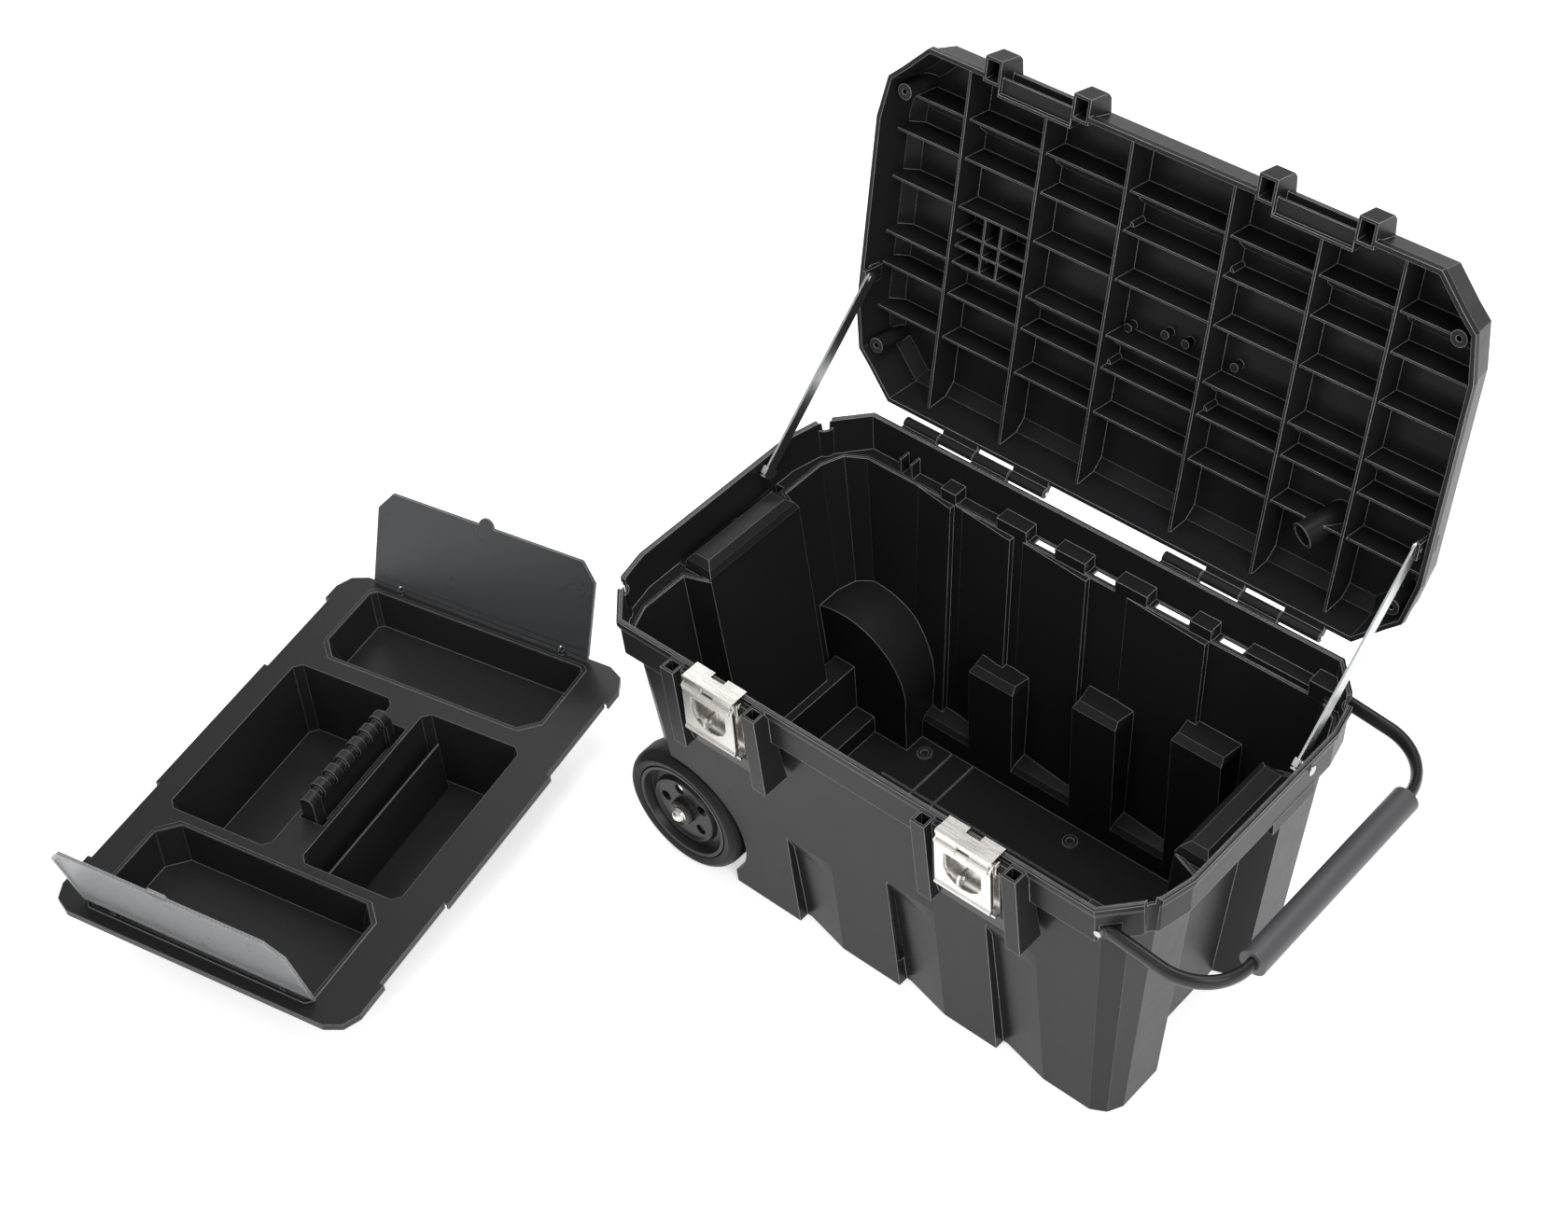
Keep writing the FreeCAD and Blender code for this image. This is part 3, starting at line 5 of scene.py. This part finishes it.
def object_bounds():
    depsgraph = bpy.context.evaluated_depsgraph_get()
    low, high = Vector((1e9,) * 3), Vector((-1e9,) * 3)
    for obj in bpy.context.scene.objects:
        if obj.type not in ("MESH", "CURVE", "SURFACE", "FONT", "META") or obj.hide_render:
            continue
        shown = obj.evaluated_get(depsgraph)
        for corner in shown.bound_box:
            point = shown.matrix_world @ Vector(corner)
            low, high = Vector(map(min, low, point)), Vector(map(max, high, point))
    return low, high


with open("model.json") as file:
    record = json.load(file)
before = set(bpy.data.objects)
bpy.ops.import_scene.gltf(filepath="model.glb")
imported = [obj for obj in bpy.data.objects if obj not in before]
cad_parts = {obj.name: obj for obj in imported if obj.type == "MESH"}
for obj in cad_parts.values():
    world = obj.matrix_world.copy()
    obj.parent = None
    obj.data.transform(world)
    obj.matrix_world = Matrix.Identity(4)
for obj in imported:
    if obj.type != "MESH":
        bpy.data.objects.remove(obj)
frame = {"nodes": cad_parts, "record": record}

low0, high0 = [list(v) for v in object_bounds()]
scene = bpy.context.scene
nodes = frame["nodes"]

# ------------------------------------------------------------------ materials


def new_mat(name):
    m = bpy.data.materials.new(name)
    m.use_nodes = True
    t = m.node_tree
    p = t.nodes["Principled BSDF"]
    return m, t, p


def coords(t):
    return t.nodes.new("ShaderNodeTexCoord").outputs["Object"]


def noise(t, co, scale, detail=3.0, rough=0.55):
    n = t.nodes.new("ShaderNodeTexNoise")
    n.inputs["Scale"].default_value = scale
    n.inputs["Detail"].default_value = detail
    n.inputs["Roughness"].default_value = rough
    t.links.new(co, n.inputs["Vector"])
    return n.outputs["Fac"]


def ramp(t, fac, stops):
    r = t.nodes.new("ShaderNodeMapRange")
    r.inputs["From Min"].default_value, r.inputs["From Max"].default_value, r.inputs["To Min"].default_value, r.inputs["To Max"].default_value = stops
    t.links.new(fac, r.inputs["Value"])
    return r.outputs["Result"]


def mix(t, fac, a, b):
    m = t.nodes.new("ShaderNodeMix")
    m.data_type = "RGBA"
    if isinstance(fac, float):
        m.inputs[0].default_value = fac
    else:
        t.links.new(fac, m.inputs[0])
    for sock, v in ((m.inputs[6], a), (m.inputs[7], b)):
        if isinstance(v, tuple):
            sock.default_value = (*v, 1.0)
        else:
            t.links.new(v, sock)
    return m.outputs[2]


def math_(t, op, a, b=None):
    m = t.nodes.new("ShaderNodeMath")
    m.operation = op
    for i, v in enumerate((a, b)):
        if v is None:
            continue
        if isinstance(v, float):
            m.inputs[i].default_value = v
        else:
            t.links.new(v, m.inputs[i])
    return m.outputs[0]


# Mask of edges and creases taken from the bevel normal; the materials use it to paint a lighter edge
# highlight into the base colour.
def edge_highlight_mask(t, radius, lo, hi, samples=6):
    b = t.nodes.new("ShaderNodeBevel")
    b.samples = samples
    b.inputs["Radius"].default_value = radius
    g = t.nodes.new("ShaderNodeNewGeometry")
    d = t.nodes.new("ShaderNodeVectorMath")
    d.operation = "DOT_PRODUCT"
    t.links.new(b.outputs["Normal"], d.inputs[0])
    t.links.new(g.outputs["Normal"], d.inputs[1])
    one = math_(t, "SUBTRACT", 1.0, d.outputs["Value"])
    return b.outputs["Normal"], ramp(t, one, (lo, hi, 0.0, 1.0))


def bump(t, p, height, dist, strength, normal=None):
    b = t.nodes.new("ShaderNodeBump")
    b.inputs["Strength"].default_value = strength
    b.inputs["Distance"].default_value = dist
    t.links.new(height, b.inputs["Height"])
    if normal is not None:
        t.links.new(normal, b.inputs["Normal"])
    t.links.new(b.outputs["Normal"], p.inputs["Normal"])


def moulded(name, base, edge_highlight_colour, rough, radius=0.0012, grain=1400.0, edge_highlight_amount=0.9, dist=0.00006, spec=0.5):
    m, t, p = new_mat(name)
    co = coords(t)
    n1 = noise(t, co, 6.0, 3.0)
    n2 = noise(t, co, grain, 2.0)
    n3 = noise(t, co, 45.0, 4.0)
    # Painted highlight: edges and creases are mixed towards the lighter edge colour, standing in for light
    # catching the rounded moulded edges.
    nrm, highlight_mask = edge_highlight_mask(t, radius, 0.012, 0.16)
    highlight_mask = math_(t, "MULTIPLY", highlight_mask, ramp(t, n3, (0.3, 0.6, edge_highlight_amount * 0.75, edge_highlight_amount)))
    dark = tuple(c * 0.95 for c in base)
    light = tuple(c * 1.05 for c in base)
    body = mix(t, ramp(t, n1, (0.3, 0.7, 0.0, 1.0)), dark, light)
    body = mix(t, ramp(t, n2, (0.35, 0.65, 0.0, 0.35)), body, tuple(c * 1.3 for c in base))
    t.links.new(mix(t, highlight_mask, body, edge_highlight_colour), p.inputs["Base Color"])
    r = ramp(t, n3, (0.3, 0.7, rough - 0.015, rough + 0.02))
    r = math_(t, "SUBTRACT", r, math_(t, "MULTIPLY", highlight_mask, 0.08))
    t.links.new(r, p.inputs["Roughness"])
    p.inputs["Specular IOR Level"].default_value = spec
    bump(t, p, n2, dist, 0.35, nrm)
    return m


def metal(name, base, rough, scratch=(900.0, 60.0, 60.0), radius=0.0006, strength=0.15):
    m, t, p = new_mat(name)
    co = coords(t)
    mp = t.nodes.new("ShaderNodeMapping")
    mp.inputs["Scale"].default_value = scratch
    t.links.new(co, mp.inputs["Vector"])
    n = noise(t, mp.outputs["Vector"], 1.0, 4.0)
    n2 = noise(t, co, 35.0, 3.0)
    # Painted highlight: metal edges are lightened to 1.15 times the base colour.
    nrm, highlight_mask = edge_highlight_mask(t, radius, 0.01, 0.2)
    c = mix(t, ramp(t, n2, (0.3, 0.7, 0.0, 1.0)), tuple(x * 0.86 for x in base), base)
    t.links.new(mix(t, highlight_mask, c, tuple(min(1.0, x * 1.15) for x in base)), p.inputs["Base Color"])
    p.inputs["Metallic"].default_value = 1.0
    t.links.new(ramp(t, n, (0.3, 0.7, rough * 0.8, rough * 1.25)), p.inputs["Roughness"])
    bump(t, p, n, 0.00003, strength, nrm)
    return m


M = {}
# The second colour of each moulded material is its painted edge highlight colour.
M["shell"] = moulded("shell_plastic", (0.0135, 0.0135, 0.0145), (0.45, 0.45, 0.46), 0.33, radius=0.0012, edge_highlight_amount=0.95, spec=0.13)
M["tray"] = moulded("tray_plastic", (0.0145, 0.0145, 0.0155), (0.36, 0.36, 0.37), 0.34, radius=0.0013, edge_highlight_amount=0.8, spec=0.24)
M["hub"] = moulded("hub_plastic", (0.012, 0.012, 0.0125), (0.08, 0.08, 0.083), 0.33, radius=0.0012, edge_highlight_amount=0.6, spec=0.28)
M["tread"] = moulded("tread_plastic", (0.011, 0.011, 0.0115), (0.035, 0.035, 0.037), 0.44, radius=0.0016, edge_highlight_amount=0.5, grain=900.0, dist=0.0001, spec=0.15)
M["bail"] = moulded("bail_plastic", (0.011, 0.011, 0.012), (0.04, 0.04, 0.042), 0.32, radius=0.001, edge_highlight_amount=0.5, spec=0.28)
M["grip"] = moulded("grip_rubber", (0.055, 0.055, 0.058), (0.26, 0.22, 0.23), 0.44, radius=0.0015, grain=1900.0, edge_highlight_amount=0.4, dist=0.0001)
M["zinc"] = metal("zinc_plate", (0.56, 0.57, 0.575), 0.36, (60.0, 700.0, 700.0))
M["nickel"] = metal("nickel_plate", (0.74, 0.715, 0.68), 0.26, (40.0, 500.0, 40.0))


def smoked(name, base, alpha, hatch):
    m, t, p = new_mat(name)
    co = coords(t)
    n = noise(t, co, 30.0, 3.0)
    # Painted highlight: edges of the smoked clear parts are mixed towards light grey.
    nrm, highlight_mask = edge_highlight_mask(t, 0.0012, 0.01, 0.15)
    c = mix(t, ramp(t, n, (0.3, 0.7, 0.0, 1.0)), tuple(x * 0.93 for x in base), base)
    t.links.new(mix(t, highlight_mask, c, (0.5, 0.51, 0.52)), p.inputs["Base Color"])
    t.links.new(ramp(t, n, (0.3, 0.7, 0.27, 0.30)), p.inputs["Roughness"])
    p.inputs["IOR"].default_value = 1.46
    p.inputs["Alpha"].default_value = alpha
    if hatch:
        w = t.nodes.new("ShaderNodeTexWave")
        w.wave_type = "BANDS"
        w.bands_direction = "DIAGONAL"
        w.inputs["Scale"].default_value = 95.0
        w.inputs["Distortion"].default_value = 0.0
        t.links.new(co, w.inputs["Vector"])
        bump(t, p, w.outputs["Fac"], 0.0006, 0.8, nrm)
    else:
        bump(t, p, noise(t, co, 900.0, 2.0), 0.00003, 0.15, nrm)
    return m


M["smoked_rear"] = smoked("smoked_clear_rear", (0.020, 0.023, 0.025), 0.88, False)
M["smoked_front"] = smoked("smoked_clear_front", (0.22, 0.225, 0.23), 0.88, True)

slot_of = {s["node"]: s["material_slot"] for s in frame["record"]["subparts"]}


def dress(obj, mat):
    obj.data.materials.clear()
    obj.data.materials.append(mat)


for name, obj in nodes.items():
    key = slot_of[name]
    if key == "smoked":
        key = "smoked_rear" if name.endswith("rear") else "smoked_front"
    for i in range(max(1, len(obj.material_slots))):
        if not obj.material_slots:
            obj.data.materials.append(M[key])
        else:
            obj.material_slots[i].material = M[key]

# ------------------------------------------------------------------ floor, light, camera
me = bpy.data.meshes.new("floor")
me.from_pydata([(-30, -30, 0), (30, -30, 0), (30, 30, 0), (-30, 30, 0)], [], [(0, 1, 2, 3)])
floor = bpy.data.objects.new("floor", me)
floor.location.z = low0[2] - 0.0005
scene.collection.objects.link(floor)
fm, ft, fp = new_mat("floor_white")
fc = coords(ft)
fn = noise(ft, fc, 3.0, 2.0)
ft.links.new(mix(ft, ramp(ft, fn, (0.3, 0.7, 0.0, 1.0)), (0.93, 0.93, 0.93), (0.95, 0.95, 0.95)), fp.inputs["Base Color"])
fp.inputs["Roughness"].default_value = 0.9
fp.inputs["Specular IOR Level"].default_value = 0.0
fp.inputs["Emission Color"].default_value = (1, 1, 1, 1)
fp.inputs["Emission Strength"].default_value = 0.55
me.materials.append(fm)

world = bpy.data.worlds.new("studio")
world.use_nodes = True
world.node_tree.nodes["Background"].inputs["Color"].default_value = (1, 1, 1, 1)
world.node_tree.nodes["Background"].inputs["Strength"].default_value = 0.55
scene.world = world


def area(name, pos, target, size, power, size_y=None):
    l = bpy.data.lights.new(name, "AREA")
    l.energy = power
    l.shape = "RECTANGLE"
    l.size = size
    l.size_y = size_y or size
    o = bpy.data.objects.new(name, l)
    o.location = pos
    o.rotation_euler = (Vector(target) - Vector(pos)).to_track_quat("-Z", "Y").to_euler()
    scene.collection.objects.link(o)
    return o


area("key", (2.9, -1.2, 2.2), (0.1, 0, 0.3), 1.6, 52, 2.2)
area("front", (-0.6, -3.2, 2.4), (-0.1, 0, 0.3), 2.2, 17, 1.6)
area("top", (0.2, 0.4, 3.4), (0, 0, 0.2), 2.0, 62)
area("back", (-2.4, 2.2, 2.2), (0, 0, 0.5), 1.6, 35)

az, el, roll, dist, f = math.radians(44.70), math.radians(44.80), math.radians(-4.67), 2.98469, 3004.69
target = Vector((-0.18384, -0.09388, 0.405))
back = Vector((math.sin(az) * math.cos(el), -math.cos(az) * math.cos(el), math.sin(el)))
fwd = -back
right = fwd.cross(Vector((0, 0, 1))).normalized()
up = right.cross(fwd)
R = right * math.cos(roll) + up * math.sin(roll)
U = -right * math.sin(roll) + up * math.cos(roll)
cam = bpy.data.cameras.new("camera")
cam.sensor_fit = "HORIZONTAL"
cam.sensor_width = 36.0
cam.lens = 36.0 * f / 1680.0
cam.clip_end = 100
co_ = bpy.data.objects.new("camera", cam)
pos = target + back * dist
co_.matrix_world = Matrix(((R.x, U.x, back.x, pos.x), (R.y, U.y, back.y, pos.y), (R.z, U.z, back.z, pos.z), (0, 0, 0, 1)))
scene.collection.objects.link(co_)
scene.camera = co_
scene.view_settings.view_transform = "Standard"
